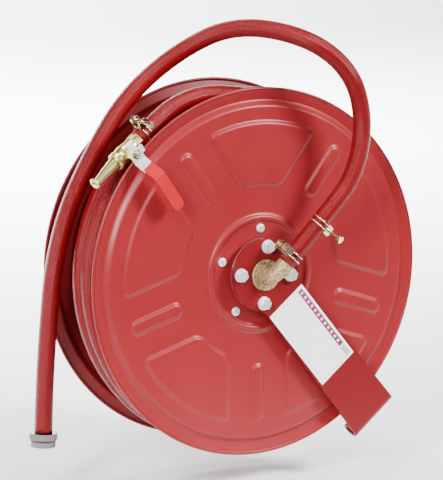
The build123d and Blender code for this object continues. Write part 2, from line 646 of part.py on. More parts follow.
def build():
    front = front_disc()
    screws = hub_screws()
    parts = {
        "wall_arm": wall_arm(), "arm_bolts": arm_bolts(), "arm_washers": arm_washers(),
        "label_plate": label_plate(), "stub_axle": stub_axle(), "circlip": circlip(),
        "front_thrust_washer": along_y(barrel_out, axle_flange_back, axle_flange_back + 2, bush_r),
        "rear_thrust_washer": along_y(barrel_out, rear_washer_y, clip_y, bush_r),
        "inlet_elbow": inlet_elbow(),
        "elbow_gasket": along_y(BOSS_R - 1, arm_back_y - GASKET_T, arm_back_y, SPIGOT_R),
        "inlet_hose": feed_hose(),
        "front_flange": front, "back_flange": mirrored(front),
        "hub_screws_front": screws, "hub_screws_back": [mirrored(s) for s in screws],
        "hub_barrel": hub_barrel(), "drum_core": drum_core(),
        "front_bush": along_y(barrel_in, nose_y, GALLERY_Y0 - SEAL_W, bush_r),
        "rear_bush": along_y(barrel_in, GALLERY_Y1 + SEAL_W, tail_y, bush_r),
        "water_seals": [along_y(barrel_in, GALLERY_Y0 - SEAL_W, GALLERY_Y0, bush_r),
                        along_y(barrel_in, GALLERY_Y1, GALLERY_Y1 + SEAL_W, bush_r)],
        "hub_outlet": hub_outlet(), "inner_hose": inner_hose(),
        "hose_winding": hose_winding(), "hose_tail": tail_hose(),
        "valve_body": valve_body(), "valve_tail": valve_tail(), "ball_seats": ball_seats(),
        "ball": ball(), "valve_stem": valve_stem(), "gland_nut": gland_nut(),
        "lever": lever(), "lever_grip": lever_grip(), "lever_nut": lever_nut(),
        "union_ring": union_ring(), "nozzle_cone": nozzle_cone(),
    }
    parts.update(coupling_pieces())
    for name, (route, distance, side, screw_l) in CLAMPS.items():
        centre, direction = on_route(route, 0, distance)
        wires, screw = hose_clamp(centre, direction, side, screw_l)
        parts[name + "_wires"] = wires
        parts[name + "_screw"] = screw
    return parts


os.makedirs("parts", exist_ok=True)
for node, shape in build().items():
    solids = shape if isinstance(shape, list) else [shape]
    moved = [Pos(*(eye_centre * -1)) * s for s in solids]
    export_step(moved[0] if len(moved) == 1 else Compound(children=moved), f"parts/{node}.step")
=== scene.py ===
import bpy
import numpy as np
from mathutils import Matrix, Vector


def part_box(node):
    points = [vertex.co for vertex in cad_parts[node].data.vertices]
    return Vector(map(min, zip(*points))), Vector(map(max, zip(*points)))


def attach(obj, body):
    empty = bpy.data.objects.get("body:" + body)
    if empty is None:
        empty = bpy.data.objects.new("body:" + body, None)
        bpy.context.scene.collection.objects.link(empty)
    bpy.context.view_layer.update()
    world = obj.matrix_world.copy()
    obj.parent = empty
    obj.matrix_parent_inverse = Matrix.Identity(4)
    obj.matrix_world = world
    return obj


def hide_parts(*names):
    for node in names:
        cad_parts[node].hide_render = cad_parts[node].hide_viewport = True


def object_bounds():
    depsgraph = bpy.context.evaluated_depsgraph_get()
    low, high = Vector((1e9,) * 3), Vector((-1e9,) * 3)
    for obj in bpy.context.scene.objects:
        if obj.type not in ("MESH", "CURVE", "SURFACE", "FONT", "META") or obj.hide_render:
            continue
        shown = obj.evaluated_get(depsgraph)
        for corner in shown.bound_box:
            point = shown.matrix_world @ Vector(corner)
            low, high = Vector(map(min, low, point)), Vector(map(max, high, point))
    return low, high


bl_info = {
    "name": "Fire hose reel",
    "version": (1, 0, 0),
    "blender": (4, 5, 0),
    "location": "View3D > Sidebar > Hose reel",
    "description": "Finishes, hoses, pressed discs and studio for a swinging fire hose reel",
    "category": "Object",
}

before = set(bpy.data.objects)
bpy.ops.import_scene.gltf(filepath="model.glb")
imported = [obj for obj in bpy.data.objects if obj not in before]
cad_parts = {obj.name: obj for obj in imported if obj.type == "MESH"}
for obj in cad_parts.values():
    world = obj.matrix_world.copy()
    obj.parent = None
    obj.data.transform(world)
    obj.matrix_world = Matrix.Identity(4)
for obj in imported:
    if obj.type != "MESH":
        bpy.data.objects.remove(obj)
CAD_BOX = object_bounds()

MM = 0.001


def node_box(node):
    """A CAD node's lowest and highest corner as numpy arrays."""
    low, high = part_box(node)
    return np.array(low), np.array(high)


# The reel's axis runs along Y through the middle of the front disc. FACE_PROUD is how far the disc's CAD solid
# stands in front of its rim's plane.
FACE_PROUD = 5.3 * MM
DISC_LOW, DISC_HIGH = node_box("front_flange")
BACK_HIGH = node_box("back_flange")[1]
AXIS = (DISC_LOW + DISC_HIGH) / 2
AXIS[1] = DISC_LOW[1] + FACE_PROUD
RIM_RADIUS = (DISC_HIGH[0] - DISC_LOW[0]) / 2
DRUM_WIDTH = BACK_HIGH[1] - DISC_LOW[1] - 2 * FACE_PROUD


def at_reel(points):
    """Points in millimetres from the reel's axis, turned into metres in the frame."""
    return np.asarray(points, float) * MM + AXIS


def scaled(values, scale):
    """A colour's three parts, each times a scale."""
    return [scale * part for part in values]


# ---- sizes and colours a user would change ----------------------------------------------------
def length_property(name, default, description):
    """A length in metres."""
    return bpy.props.FloatProperty(name=name, description=description, default=default, unit="LENGTH")


def colour_property(name, default, description):
    """A linear RGB colour."""
    return bpy.props.FloatVectorProperty(
        name=name, description=description, default=default, subtype="COLOR", size=3)


class HOSEREEL_PG_disc(bpy.types.PropertyGroup):
    """Pressed disc"""
    press: length_property("Press height", 0.0035, "How far the pressed shapes stand out")
    wall: length_property("Wall width", 0.0074, "Width of the sloping wall round a pressed shape")
    sheet: length_property("Sheet", 0.0015, "Thickness of the steel sheet")
    rim_bead: length_property("Rim bead", 0.0025, "Radius of the rolled rim")
    slot_half: length_property("Slot half width", 0.0135, "Half the width of a pressed slot")
    slot_inner: length_property("Slot inner end", 0.1455, "Reel axis to a slot's inner end centre")
    slot_outer: length_property("Slot outer end", 0.2081, "Reel axis to a slot's outer end centre")
    sector_inner: length_property("Sector inner edge", 0.125, "Inner radius of a pressed sector")
    sector_outer: length_property("Sector outer edge", 0.224, "Outer radius of a pressed sector")
    sector_gap: length_property("Sector to slot", 0.045, "Slot centre line to the next sector's edge")


class HOSEREEL_PG_hose(bpy.types.PropertyGroup):
    """Hose"""
    diameter: length_property("Hose diameter", 0.026, "Outside diameter of both hoses")
    feed_length: length_property("Feed length", 1.2, "Length of the feed hose")
    wound_length: length_property("Wound length", 27.3, "Length of the delivery hose on the drum")
    layer_step: length_property("Layer step", 0.0235, "Radial distance between two layers of turns")
    first_layer: length_property("First layer", 0.1593, "Reel axis to the middle of the innermost turns")
    rib: length_property("Cover rib", 0.0046, "Spacing of the fine crossed ribs in the cover")


class HOSEREEL_PG_colours(bpy.types.PropertyGroup):
    """Colours"""
    enamel: colour_property("Enamel", (0.20, 0.0088, 0.0118), "Red of the painted steel")
    hose: colour_property("Hose", (0.165, 0.0034, 0.0050), "Red of the hose cover")
    grip: colour_property("Grip", (0.40, 0.0025, 0.009), "Red of the dipped lever grip")
    band: colour_property("Label band", (0.22, 0.006, 0.07), "Band along one edge of the label")


# ---- meshes -------------------------------------------------------------------------------------
def linked(name, data):
    """A new object in the scene, holding some data."""
    item = bpy.data.objects.new(name, data)
    bpy.context.scene.collection.objects.link(item)
    return item


def mesh_object(name, verts, faces, material, uv=None):
    """A smooth shaded mesh object at the origin; uv is one pair for each corner of each face."""
    mesh = bpy.data.meshes.new(name)
    mesh.from_pydata(verts.tolist(), [], faces)
    mesh.shade_smooth()
    if uv is not None:
        mesh.uv_layers.new(name="UVMap").data.foreach_set("uv", uv.astype(np.float32).ravel())
    mesh.materials.append(material)
    return linked(name, mesh)


def new_piece(name, verts, faces, body, material, uv=None):
    """A mesh object that rides on a body."""
    piece = mesh_object(name, verts, faces, material, uv)
    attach(piece, body)
    return piece


def grid_faces(rows, columns, wrap_columns=False, wrap_rows=False):
    """Quads of a rows by columns grid of vertices, counted row by row."""
    row = np.arange(rows if wrap_rows else rows - 1)[:, None]
    column = np.arange(columns if wrap_columns else columns - 1)[None, :]
    next_row, next_column = (row + 1) % rows, (column + 1) % columns
    quads = [row * columns + column, row * columns + next_column,
             next_row * columns + next_column, next_row * columns + column]
    return np.stack([np.broadcast_to(q, (row.size, column.size)) for q in quads], -1).reshape(-1, 4)


def spline_points(name, points, resolution):
    """Points read from an order 3 NURBS line through its end points."""
    curve = bpy.data.curves.new(name, "CURVE")
    curve.dimensions = "3D"
    curve.resolution_u = resolution
    spline = curve.splines.new("NURBS")
    spline.points.add(len(points) - 1)
    flat = np.ones((len(points), 4))
    flat[:, :3] = points
    spline.points.foreach_set("co", flat.ravel())
    spline.order_u = 3
    spline.use_endpoint_u = True
    holder = linked(name, curve)
    mesh = bpy.data.meshes.new_from_object(holder)
    line = np.empty(len(mesh.vertices) * 3)
    mesh.vertices.foreach_get("co", line)
    bpy.data.objects.remove(holder)
    bpy.data.curves.remove(curve)
    bpy.data.meshes.remove(mesh)
    return line.reshape(-1, 3)


def carried_frames(line):
    """Tangents and two normals along a line; each normal is the last one, less its part along the tangent."""
    tangent = np.gradient(line, axis=0)
    tangent /= np.linalg.norm(tangent, axis=1)[:, None]
    start = np.cross(tangent[0], (0.0, 1.0, 0.0) if abs(tangent[0][1]) < 0.9 else (1.0, 0.0, 0.0))
    normal = np.empty_like(line)
    normal[0] = start / np.linalg.norm(start)
    for i in range(1, len(line)):
        step = normal[i - 1] - tangent[i] * np.dot(normal[i - 1], tangent[i])
        normal[i] = step / np.linalg.norm(step)
    return tangent, normal, np.cross(tangent, normal)


def tube(line, radius, sides):
    """Tube round a line: p = line(u) + radius (cos v normal(u) + sin v binormal(u)), each end closed with a fan.

    The UV map holds metres along the line and the share of a turn round it."""
    tangent, normal, binormal = carried_frames(line)
    along = np.concatenate([[0.0], np.cumsum(np.linalg.norm(np.diff(line, axis=0), axis=1))])
    turn = np.linspace(0.0, 1.0, sides + 1)
    angle = 2 * np.pi * turn[:-1]
    around = (np.cos(angle)[None, :, None] * normal[:, None]
              + np.sin(angle)[None, :, None] * binormal[:, None])
    skin = line[:, None] + radius * around
    rows = len(line)
    verts = np.vstack([skin.reshape(-1, 3), line[:1], line[-1:]])
    quads = grid_faces(rows, sides, wrap_columns=True)
    row, column = np.divmod(np.arange(len(quads)), sides)
    corners = [(row, column), (row, column + 1), (row + 1, column + 1), (row + 1, column)]
    quad_uv = np.stack([np.stack([along[i], turn[j]], -1) for i, j in corners], 1)
    near = np.arange(sides)
    after, last_row = (near + 1) % sides, (rows - 1) * sides
    start = np.stack([np.full(sides, rows * sides), after, near], -1)
    end = np.stack([np.full(sides, rows * sides + 1), last_row + near, last_row + after], -1)
    middle = (turn[:-1] + turn[1:]) / 2
    start_turn = np.stack([middle, turn[1:], turn[:-1]], -1)
    end_turn = np.stack([middle, turn[:-1], turn[1:]], -1)
    start_uv = np.stack([np.full((sides, 3), along[0]), start_turn], -1)
    end_uv = np.stack([np.full((sides, 3), along[-1]), end_turn], -1)
    faces = quads.tolist() + start.tolist() + end.tolist()
    uv = np.concatenate([part.reshape(-1, 2) for part in (quad_uv, start_uv, end_uv)])
    return verts, faces, uv


# ---- materials --------------------------------------------------------------------------------------
class Finish:
    """A material's node tree with short ways to add and join nodes."""

    def __init__(self, name):
        self.material = bpy.data.materials.new(name)
        self.material.use_nodes = True
        self.nodes = self.material.node_tree.nodes
        self.links = self.material.node_tree.links
        self.shader = self.nodes["Principled BSDF"]

    def add(self, kind, **values):
        """A node with its properties and input defaults set by name."""
        node = self.nodes.new(kind)
        for key, value in values.items():
            if hasattr(node, key):
                setattr(node, key, value)
            else:
                self.join(value, node.inputs[key.replace("_", " ")])
        return node

    def join(self, value, socket):
        """Links an output to a socket, or sets the socket to a plain value."""
        if isinstance(value, bpy.types.NodeSocket):
            self.links.new(value, socket)
        else:
            socket.default_value = value

    def set(self, **values):
        """Sets or links the shader's inputs."""
        for key, value in values.items():
            self.join(value, self.shader.inputs[key.replace("_", " ")])

    def place(self):
        """A point's own place on its piece."""
        return self.add("ShaderNodeTexCoord").outputs["Object"]

    def uv(self):
        """Metres along a hose and the share of a turn round it."""
        return self.add("ShaderNodeTexCoord").outputs["UV"]

    def vector(self, operation, first, second=None):
        """A node of vector arithmetic on one vector or two."""
        node = self.add("ShaderNodeVectorMath", operation=operation)
        self.join(first, node.inputs[0])
        if second is not None:
            self.join(second, node.inputs[1])
        return node

    def math(self, operation, first, second=0.0, third=0.0):
        """The result of one step of arithmetic."""
        node = self.nodes.new("ShaderNodeMath")
        node.operation = operation
        for value, socket in zip((first, second, third), node.inputs):
            self.join(value, socket)
        return node.outputs[0]

    def noise(self, scale, detail=3.0, roughness=0.5, stretch=None):
        """Noise from 0 to 1 over the piece."""
        vector = self.place()
        if stretch:
            vector = self.add("ShaderNodeMapping", Vector=vector, Scale=stretch).outputs[0]
        node = self.add("ShaderNodeTexNoise", Vector=vector, Scale=scale, Detail=detail, Roughness=roughness)
        return node.outputs["Fac"]

    def between(self, value, low, high):
        """Noise from 0.25 to 0.75, where nearly all of it lies, spread over low to high."""
        node = self.add("ShaderNodeMapRange", Value=value, From_Min=0.25, From_Max=0.75, To_Min=low, To_Max=high)
        return node.outputs["Result"]

    def mottled(self, base, value, dark, light):
        """A colour that noise carries from a dark share of itself to a light one."""
        return self.blend(self.between(value, 0.0, 1.0), colour(base, dark), colour(base, light))

    def blend(self, factor, first, second):
        """The first colour where factor is 0, the second where it is 1."""
        node = self.nodes.new("ShaderNodeMix")
        node.data_type = "RGBA"
        self.join(factor, node.inputs["Factor"])
        self.join(first, node.inputs["A"])
        self.join(second, node.inputs["B"])
        return node.outputs["Result"]

    def bump(self, height, distance, strength=1.0, edge=None):
        """Normals tilted by a height; where an edge radius is given, they round the hard edges as well."""
        node = self.add("ShaderNodeBump", Height=height, Distance=distance, Strength=strength)
        if edge is not None:
            self.join(self.rounded(edge), node.inputs["Normal"])
        return node.outputs["Normal"]

    def rounded(self, radius):
        """Normals that round a hard edge."""
        return self.add("ShaderNodeBevel", samples=4, Radius=radius).outputs["Normal"]


def colour(values, scale=1.0):
    """A colour's three parts times a scale, with full alpha."""
    return (*scaled(values, scale), 1.0)


# Painted and rubber reds keep a red shine; a plain white one would wash them out.
ENAMEL_SHINE = (1.0, 0.50, 0.52, 1.0)
COVER_SHINE = (1.0, 0.50, 0.54, 1.0)


def enamel(name, base, edge=0.0012, gloss=1.0):
    """Semi-gloss red enamel on steel: faint orange peel, soft cloudiness and a thin clear coat."""
    f = Finish(name)
    f.set(Base_Color=f.mottled(base, f.noise(9.0, 4.0), 0.93, 1.06), Roughness=f.between(f.noise(60.0), 0.38, 0.46),
          Specular_IOR_Level=0.5 * gloss, Specular_Tint=ENAMEL_SHINE, Coat_Weight=0.1 * gloss, Coat_Roughness=0.20)
    f.set(Normal=f.bump(f.noise(420.0, 2.0), 0.00025, 0.18, edge))
    return f.material


def hose_cover(name, base, rib, diameter):
    """Glossy hose cover whose reinforcing cords show through as fine crossed ribs.

    The ribs are sin(a + b) sin(a - b): a grows by a turn for each rib's spacing along the hose, and b by a whole
    number of turns round it."""
    f = Finish(name)
    place = f.add("ShaderNodeSeparateXYZ", Vector=f.uv()).outputs
    starts = round(np.pi * diameter / rib)
    along = f.math("MULTIPLY", place[0], 2 * np.pi / rib)
    around = f.math("MULTIPLY", place[1], 2 * np.pi * starts)
    left = f.math("SINE", f.math("ADD", along, around))
    right = f.math("SINE", f.math("SUBTRACT", along, around))
    weave = f.math("MULTIPLY", left, right)
    tint = f.mottled(base, f.noise(16.0), 0.86, 1.12)
    tint = f.blend(f.math("MULTIPLY_ADD", weave, 0.34, 0.34), tint, colour(base, 0.62))
    f.set(Base_Color=tint, Roughness=f.between(f.noise(90.0), 0.21, 0.27), Specular_IOR_Level=0.36,
          Specular_Tint=COVER_SHINE, Normal=f.bump(weave, 0.00022))
    return f.material


def bare_metal(name, base, low, high, grain=300.0, strength=0.3, edge=0.0006, stretch=None, metal=1.0, bore=None):
    """Bare or plated metal: fine grain in colour, roughness and bump; painted shade, near black, inside a bore,
    where one is given.
    """
    f = Finish(name)
    fine = f.noise(grain, 4.0, 0.6, stretch)
    tint = f.mottled(base, f.noise(45.0), 0.82, 1.1)
    if bore:
        # Painted shade: metal near the bore's axis is painted near black, standing in for the shade inside the
        # bore.
        tint = f.blend(near_line(f, *bore), tint, colour(base, 0.04))
    f.set(Base_Color=tint, Metallic=metal, Roughness=f.between(fine, low, high),
          Normal=f.bump(fine, 0.0001, strength, edge))
    return f.material


def near_line(f, point, direction, radius):
    """1 within a radius of a line, and 0 elsewhere: the length of (place - point) x direction is the distance."""
    spot = f.vector("SUBTRACT", f.place(), point).outputs[0]
    turned = f.vector("CROSS_PRODUCT", spot, direction).outputs[0]
    return f.math("LESS_THAN", f.vector("LENGTH", turned).outputs["Value"], radius)


def rough_cast(name, base):
    """Sand-cast bronze: pitted, with dark speckles where a fine noise runs low.

    The lighter colour's share is 4.5 times a fine noise, less 1.7, kept from 0 to 1."""
    f = Finish(name)
    coarse = f.noise(210.0, 6.0, 0.65)
    pits = f.add("ShaderNodeTexVoronoi", Vector=f.place(), Scale=380.0).outputs["Distance"]
    height = f.math("MULTIPLY_ADD", pits, 0.5, coarse)
    lighter_share = f.math("MULTIPLY_ADD", f.noise(430.0, 5.0, 0.7), 4.5, -1.7)
    lighter_share = f.math("MINIMUM", f.math("MAXIMUM", lighter_share, 0.0), 1.0)
    f.set(Base_Color=f.blend(lighter_share, colour(base, 0.14), colour(base, 1.3)), Metallic=0.85,
          Roughness=f.between(coarse, 0.42, 0.68), Normal=f.bump(height, 0.0009, edge=0.001))
    return f.material


def soft_plastic(name, base, low=0.3, high=0.42, grain=180.0, coat=0.0):
    """Moulded or dipped plastic and rubber with a slightly uneven skin."""
    f = Finish(name)
    skin = f.noise(grain)
    f.set(Base_Color=f.mottled(base, f.noise(40.0), 0.88, 1.06), Roughness=f.between(skin, low, high),
          Coat_Weight=coat, Coat_Roughness=0.2, Normal=f.bump(skin, 0.0001, 0.15, 0.0008))
    return f.material


# The label, in mm: along is from the reel's axis towards the pivot eye, across is to one side of that line.
LABEL_MIDDLE, LABEL_REACH, LABEL_HALF = 124.5, 71.5, 34.75
BORDER_IN_ALONG, BORDER_IN_ACROSS, BORDER_WIDTH = 4.0, 5.0, 0.6
STRIP_ALONG, STRIP_ACROSS = (58.0, 172.0), (22.5, 31.0)
SQUARES_ALONG, SQUARES_ACROSS = (62.0, 170.0), (24.9, 28.7)
SQUARE_PITCH, SQUARE_SHARE = 9.0, 0.42
TAB_ALONG = (174.0, 191.0)
PAPER_DARK, PAPER_LIGHT = (0.93, 0.93, 0.94, 1.0), (0.97, 0.97, 0.98, 1.0)
BORDER_GREY, TAB_GREY, SQUARE_PALE = (0.45, 0.44, 0.50, 1.0), (0.42, 0.40, 0.42, 1.0), (0.85, 0.83, 0.85, 1.0)


def label_paper(name, band, along, across, axis):
    """Plain white label with a coloured band of small squares along one edge, a grey tab at the far end and a
    thin border.

    The border is where the larger of |across| - (half width - inset) and |along - middle| - (reach - inset) lies
    between 0 and the border's width."""
    f = Finish(name)
    spot = f.vector("SUBTRACT", f.place(), axis).outputs[0]

    def measured(direction):
        return f.math("MULTIPLY", f.vector("DOT_PRODUCT", spot, direction).outputs["Value"], 1 / MM)

    def inside(value, span):
        return f.math("MULTIPLY", f.math("GREATER_THAN", value, span[0]), f.math("LESS_THAN", value, span[1]))

    def past(value, limit):
        return f.math("SUBTRACT", f.math("ABSOLUTE", value), limit)

    u, v = measured(along), measured(across)
    strip = f.math("MULTIPLY", inside(v, STRIP_ACROSS), inside(u, STRIP_ALONG))
    step = f.math("FRACT", f.math("DIVIDE", f.math("SUBTRACT", u, SQUARES_ALONG[0]), SQUARE_PITCH))
    square = f.math("MULTIPLY", inside(step, (0.0, SQUARE_SHARE)), inside(v, SQUARES_ACROSS))
    square = f.math("MULTIPLY", square, inside(u, SQUARES_ALONG))
    tab = f.math("MULTIPLY", inside(v, STRIP_ACROSS), inside(u, TAB_ALONG))
    edge = f.math("MAXIMUM", past(v, LABEL_HALF - BORDER_IN_ACROSS),
                  past(f.math("SUBTRACT", u, LABEL_MIDDLE), LABEL_REACH - BORDER_IN_ALONG))
    paper = f.blend(f.between(f.noise(60.0), 0.0, 1.0), PAPER_DARK, PAPER_LIGHT)
    paper = f.blend(inside(edge, (0.0, BORDER_WIDTH)), paper, BORDER_GREY)
    paper = f.blend(tab, paper, TAB_GREY)
    paper = f.blend(strip, paper, colour(band))
    paper = f.blend(square, paper, SQUARE_PALE)
    f.set(Base_Color=paper, Roughness=f.between(f.noise(500.0), 0.33, 0.42), Coat_Weight=0.4, Coat_Roughness=0.2,
          Normal=f.bump(f.noise(700.0), 0.0001, 0.1))
    return f.material


def assign(material, *nodes):
    """Puts one material on whole CAD nodes."""
    for node in nodes:
        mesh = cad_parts[node].data
        mesh.materials.clear()
        mesh.materials.append(material)


# The nozzle's bore: a point on its axis in mm from the reel's axis, its direction, and the radius in metres within
# which the metal is painted near black, painted shade for the inside of the bore.
VALVE_AT = (-212.5, 20.0, 180.8)
NOZZLE_FLOW = (-0.79334, -0.207912, -0.572175)
BORE_SHADE_RADIUS = 0.0034
BRASS = dict(base=(0.80, 0.66, 0.27), low=0.26, high=0.36, strength=0.25, edge=0.001)


# ---- operators --------------------------------------------------------------------------------------
class HOSEREEL_OT_finishes(bpy.types.Operator):
    """Gives every CAD piece its finish"""
    bl_idname = "hosereel.finishes"
    bl_label = "Finishes"

    def execute(self, context):
        shades = context.scene.hosereel_colours
        assign(enamel("red_enamel", shades.enamel), "drum_core", "hub_barrel", "front_flange", "back_flange")
        # The arm's enamel is the discs' red at 0.70 of its brightness and half the gloss: painted shade, a shaded
        # copy of the same paint.
        assign(enamel("arm_enamel_painted_shade", scaled(shades.enamel, 0.70), gloss=0.5), "wall_arm")
        bright = bare_metal("bright_zinc", (0.92, 0.93, 0.96), 0.32, 0.46, grain=260.0, metal=0.7)
        assign(bright, "arm_bolts", "arm_washers", "hub_screws_front", "hub_screws_back")
        assign(bare_metal("lever_steel", (0.90, 0.92, 0.97), 0.30, 0.40, grain=420.0, metal=0.7), "lever")
        yellow = bare_metal("passivated_zinc", (0.78, 0.66, 0.42), 0.16, 0.28, grain=400.0, edge=0.0004)
        clamps = [f"{place}_clamp_{kind}" for place in ("lower", "upper", "nozzle") for kind in ("wires", "screw")]
        assign(yellow, "lever_nut", *clamps)
        assign(rough_cast("cast_bronze", (0.54, 0.39, 0.20)), "inlet_elbow")
        # The nozzle's bore gets painted shade: near black metal round its axis.
        bore_shade = (at_reel(VALVE_AT), NOZZLE_FLOW, BORE_SHADE_RADIUS)
        assign(bare_metal("nozzle_brass", bore=bore_shade, **BRASS), "nozzle_cone")
        brass = bare_metal("light_brass", **BRASS)
        assign(brass, "valve_body", "valve_tail", "gland_nut", "union_ring", "hub_outlet")
        steel = bare_metal("turned_steel", (0.56, 0.56, 0.57), 0.28, 0.42, grain=500.0, stretch=(1, 12, 1))
        assign(steel, "stub_axle", "circlip", "valve_stem", "front_thrust_washer", "rear_thrust_washer")
        bronze = bare_metal("bush_bronze", (0.62, 0.44, 0.22), 0.35, 0.5, grain=600.0)
        assign(bronze, "front_bush", "rear_bush")
        chrome = bare_metal("bright_chrome", (0.19, 0.18, 0.17), 0.05, 0.11, grain=350.0)
        assign(chrome, "ball", "coupling_tail", "coupling_collar", "coupling_ring")
        black = soft_plastic("black_rubber", (0.02, 0.02, 0.022), 0.5, 0.65)
        assign(black, "elbow_gasket", "water_seals", "coupling_seal")
        assign(soft_plastic("seat_plastic", (0.85, 0.84, 0.80)), "ball_seats")
        self.label(shades.band)
        return {"FINISHED"}

    def label(self, band):
        """The label's pattern runs along the line from the reel's axis to the pivot eye."""
        low, high = node_box("label_plate")
        along = (low + high) / 2 - AXIS
        along[1] = 0.0
        along /= np.linalg.norm(along)
        across = np.array([-along[2], 0.0, along[0]])
        assign(label_paper("label_paper", band, along, across, AXIS), "label_plate")


# Control points in mm from the reel's axis, from the elbow to the end coupling.
FEED_ROUTE = [(17, -48, 20.4), (80.2, -63.8, 96.2), (119, -67, 146), (134.7, -64.5, 222.6),
              (104.5, -72.4, 297.4), (39.2, -54.4, 346.3), (-38.3, 15.1, 360.3), (-94.6, 82.2, 316.6),
              (-171, 97, 251), (-227, 97, 165), (-265, 97, 86), (-284, 97, 8), (-291, 97, -75),
              (-296, 97, -160), (-297, 97, -226)]


class HOSEREEL_OT_feed_hose(bpy.types.Operator):
    """Makes the feed hose from the elbow over the drum to the end coupling"""
    bl_idname = "hosereel.feed_hose"
    bl_label = "Feed hose"

    def execute(self, context):
        size, shades = context.scene.hosereel_hose, context.scene.hosereel_colours
        line = spline_points("feed_line", at_reel(FEED_ROUTE), resolution=24)
        verts, faces, uv = tube(line, size.diameter / 2, sides=32)
        cover = hose_cover("feed_cover", shades.hose, size.rib, size.diameter)
        hose = new_piece("feed_hose", verts, faces, "bracket", cover, uv)
        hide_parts("inlet_hose")
        return {"FINISHED"}


# The wound hose, in mm from the reel's axis: from the outlet inside the drum, through five layers of columns side
# by side, to the valve's tail. LEAVE_TURN is where it leaves the winding, in turns.
INNER_ROUTE = [(110, 75, 30), (110, 75, 52)]
TAIL_ROUTE = [(-30, 25, 257.5), (-80, 27, 261.5), (-123, 32, 247.5), (-154.6, 35.2, 222.6), (-186.3, 26.9, 199.7)]
LAYERS, COLUMN_STEPS, COLUMN_STEP = 5, 5, 26.1
FIRST_COLUMN = 14.0
LAST_COLUMN = FIRST_COLUMN + COLUMN_STEPS * COLUMN_STEP
LEAVE_TURN = 22 + 84 / 360
POINTS_A_TURN = 24


def winding(first_layer, layer_step):
    """Control points of the wound hose: (r cos a, depth, r sin a), where a grows by a turn for each turn wound.

    Radius r and depth run straight between stages of (turns, radius, depth)."""
    layer = [first_layer / MM + i * layer_step / MM for i in range(LAYERS)]
    stages = [(0.12, layer[0] - 28, 77), (0.25, layer[0] - 8, 96), (0.6, layer[0], LAST_COLUMN),
              (5.6, layer[0], FIRST_COLUMN), (5.8, layer[1], FIRST_COLUMN), (10.8, layer[1], LAST_COLUMN),
              (11.0, layer[2], LAST_COLUMN), (16.0, layer[2], FIRST_COLUMN), (16.2, layer[3], FIRST_COLUMN),
              (19.7, layer[3], 105), (20.0, layer[4], 84), (LEAVE_TURN, layer[4] - 0.5, 25)]
    turns, radii, depths = np.array(stages).T
    count = np.arange(turns[0], LEAVE_TURN, 1 / POINTS_A_TURN)
    radius, depth = np.interp(count, turns, radii), np.interp(count, turns, depths)
    angle = 2 * np.pi * count
    return np.stack([radius * np.cos(angle), depth, radius * np.sin(angle)], -1)


class HOSEREEL_OT_delivery_hose(bpy.types.Operator):
    """Winds the delivery hose on the drum and leads its end up to the nozzle"""
    bl_idname = "hosereel.delivery_hose"
    bl_label = "Delivery hose"

    def execute(self, context):
        size, shades = context.scene.hosereel_hose, context.scene.hosereel_colours
        route = np.vstack([INNER_ROUTE, winding(size.first_layer, size.layer_step), TAIL_ROUTE])
        line = spline_points("delivery_line", at_reel(route), resolution=4)
        verts, faces, uv = tube(line, size.diameter / 2, sides=20)
        cover = hose_cover("delivery_cover", shades.hose, size.rib, size.diameter)
        hose = new_piece("delivery_hose", verts, faces, "drum", cover, uv)
        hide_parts("hose_winding", "hose_tail", "inner_hose")
        return {"FINISHED"}


# The pressed disc, in mm and degrees: a pattern of slots and sectors repeats round a flat face, which a wall joins
# to a sunk band inside the rim; a bead runs round the hub.
PATTERN, SLOT_TURN = 5, 54.0
HUB_HOLE, FACE_LEVEL = 31.2, 2.3
WALL_START, WALL_WIDTH, WALL_FOOT = 241.0, 11.5, -4.5
BAND_START, BAND_WIDTH, BAND_RISE = 252.5, 15.0, 4.2
BEAD_MIDDLE, BEAD_HALF, BEAD_HEIGHT = 81.0, 4.6, 3.2
SECTOR_CORNER = 14.0
ROLL_START, ROLL_END, ROLL_ROWS = -110, 130, 11

# Spans of (start, end, lines) that crowd where the pressings have their walls; inside GUIDE_RADIUS the grid's lines
# are straight, and FAR_COLUMNS of them share what the offsets leave of a half pattern.
RADIUS_SPANS = [(HUB_HOLE, 76.2, 9), (76.8, 85.2, 15), (86, 118, 8), (121, 146, 28), (150, 204, 15), (207, 229, 27),
                (231, 239, 4), (240.5, 253.5, 15), (255, 267.5, 6)]
OFFSET_SPANS = [(0, 5, 3), (7, 14, 9), (17, 40, 6), (42, 56, 11)]
GUIDE_RADIUS, FAR_COLUMNS = 100.0, 9


def lines_over(spans):
    """Grid lines, evenly spaced within each span."""
    return np.concatenate([np.linspace(*span) for span in spans])


def ease(value):
    """0 below 0 and 1 above 1, with a smooth S between: 3 t^2 - 2 t^3."""
    t = np.clip(value, 0.0, 1.0)
    return t * t * (3 - 2 * t)


def disc_profile(radius):
    """Height of the disc's face in front of the rim's plane, in mm.

    The face's level, which ease((radius - wall start) / wall width) carries down to the wall's foot; a straight
    rise over the band's width; and the hub's bead, a half ellipse: its height times
    sqrt(1 - ((radius - middle) / half)^2)."""
    wall = FACE_LEVEL + (WALL_FOOT - FACE_LEVEL) * ease((radius - WALL_START) / WALL_WIDTH)
    band = np.where(radius > BAND_START, (radius - BAND_START) / BAND_WIDTH * BAND_RISE, 0.0)
    bead = BEAD_HEIGHT * np.sqrt(np.clip(1 - ((radius - BEAD_MIDDLE) / BEAD_HALF) ** 2, 0.0, 1.0))
    return wall + band + bead


